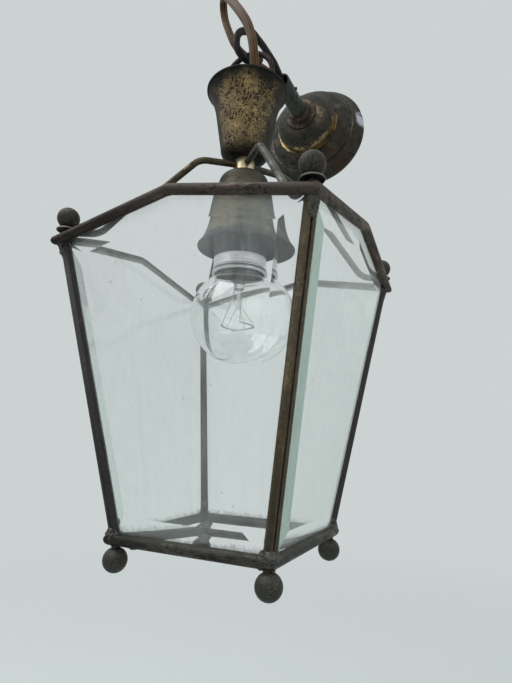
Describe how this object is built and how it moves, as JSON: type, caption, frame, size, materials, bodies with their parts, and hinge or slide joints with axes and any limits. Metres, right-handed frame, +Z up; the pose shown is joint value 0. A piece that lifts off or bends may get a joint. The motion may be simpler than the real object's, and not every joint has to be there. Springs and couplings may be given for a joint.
{
  "type": "outdoor wall lantern",
  "caption": "Tapered square glass lantern with ball feet and finials, hung by a bail and ring from a hooked wall bracket with a round stepped rose.",
  "frame": {"origin": "centre of the back face of the wall rose and its plate, on the wall", "axes": "+Y goes into the wall, +Z is up, +X is to the right as seen from the room"},
  "size_m": [0.163, 0.2215, 0.3984],
  "materials": {
    "rose_bronze": "dark bronzed brass, gold where worn",
    "steel": "dull zinc plate",
    "screw_brass": "plain brass",
    "black_iron": "blackened iron wire with rusty streaks",
    "bell_brass": "aged brass, mottled with dark tarnish",
    "frame_brass": "bronzed brass, rubbed on its edges",
    "ball_brass": "matt dark tarnished brass",
    "panel_glass": "clear bevelled plate glass",
    "porcelain": "glazed white",
    "holder_brass": "plain pressed brass",
    "holder_ring": "satin pale metal",
    "spring_steel": "bright wire",
    "flex_cover": "gold translucent ribbed sheath",
    "core_copper": "insulated cores",
    "lamp_glass": "clear blown glass",
    "lamp_cap": "thin bright brass",
    "lamp_black": "black glass insulator",
    "solder": "soft solder",
    "lamp_wire": "nickel wire",
    "tungsten": "coiled tungsten wire"
  },
  "bodies": {
    "bracket": {"wall_rose": "rose_bronze", "wall_plate": "steel", "rose_screws": "screw_brass", "rose_collar": "rose_bronze", "arm_backnut": "steel", "arm_tube": "rose_bronze", "hook": "black_iron", "hook_pin": "black_iron", "terminal_block": "porcelain", "terminal_screws": "screw_brass", "flex": "flex_cover"},
    "ring": {"suspension_ring": "black_iron"},
    "lantern": {"suspension_bail": "bell_brass", "upper_bell": "bell_brass", "lower_bell": "bell_brass", "centre_tube": "bell_brass", "arm_hub": "bell_brass", "arm_back_right": "frame_brass", "arm_back_left": "frame_brass", "arm_front_left": "frame_brass", "arm_front_right": "frame_brass", "post_back_right": "frame_brass", "post_back_left": "frame_brass", "post_front_left": "frame_brass", "post_front_right": "frame_brass", "top_rail_front": "frame_brass", "top_rail_right": "frame_brass", "top_rail_back": "frame_brass", "top_rail_left": "frame_brass", "bottom_rail_front": "frame_brass", "bottom_rail_right": "frame_brass", "bottom_rail_back": "frame_brass", "bottom_rail_left": "frame_brass", "glass_front": "panel_glass", "glass_right": "panel_glass", "glass_back": "panel_glass", "glass_left": "panel_glass", "top_balls": "ball_brass", "finial_saucers": "ball_brass", "finial_studs": "ball_brass", "bottom_balls": "ball_brass", "holder_cap": "holder_brass", "holder_barrel": "holder_ring", "holder_socket": "holder_brass", "holder_insulator": "porcelain", "holder_screws": "screw_brass", "holder_springs": "spring_steel", "holder_leads": "core_copper"},
    "plungers": {"holder_plungers": "screw_brass"},
    "bulb": {"bulb_glass": "lamp_glass", "bulb_cap": "lamp_cap", "bulb_pins": "lamp_cap", "bulb_insulator": "lamp_black", "bulb_contacts": "solder", "bulb_stem": "lamp_glass", "bulb_leads": "lamp_wire", "bulb_supports": "lamp_wire", "bulb_filament": "tungsten"}
  },
  "joints": [
    {"name": "ring_swing", "type": "hinge", "parent": "bracket", "child": "ring", "pos_m": [0, -0.14, -0.026], "axis": [0, 1, 0], "range_deg": [-15, 15], "deforming": ["flex"]},
    {"name": "lantern_swing", "type": "hinge", "parent": "ring", "child": "lantern", "pos_m": [0, -0.14, -0.0574], "axis": [1, 0, 0], "range_deg": [-16, 16], "deforming": ["flex"]},
    {"name": "bulb_push", "type": "slide", "parent": "lantern", "child": "plungers", "axis": [0, 0, 1], "range_m": [0, 0.0015], "stiffness_N_per_m": 1000, "springref_m": -0.004, "deforming": ["holder_springs"]},
    {"name": "bulb_turn", "type": "hinge", "parent": "plungers", "child": "bulb", "pos_m": [0, -0.14, -0.147], "axis": [0, 0, 1], "range_deg": [-20, 0]}
  ]
}
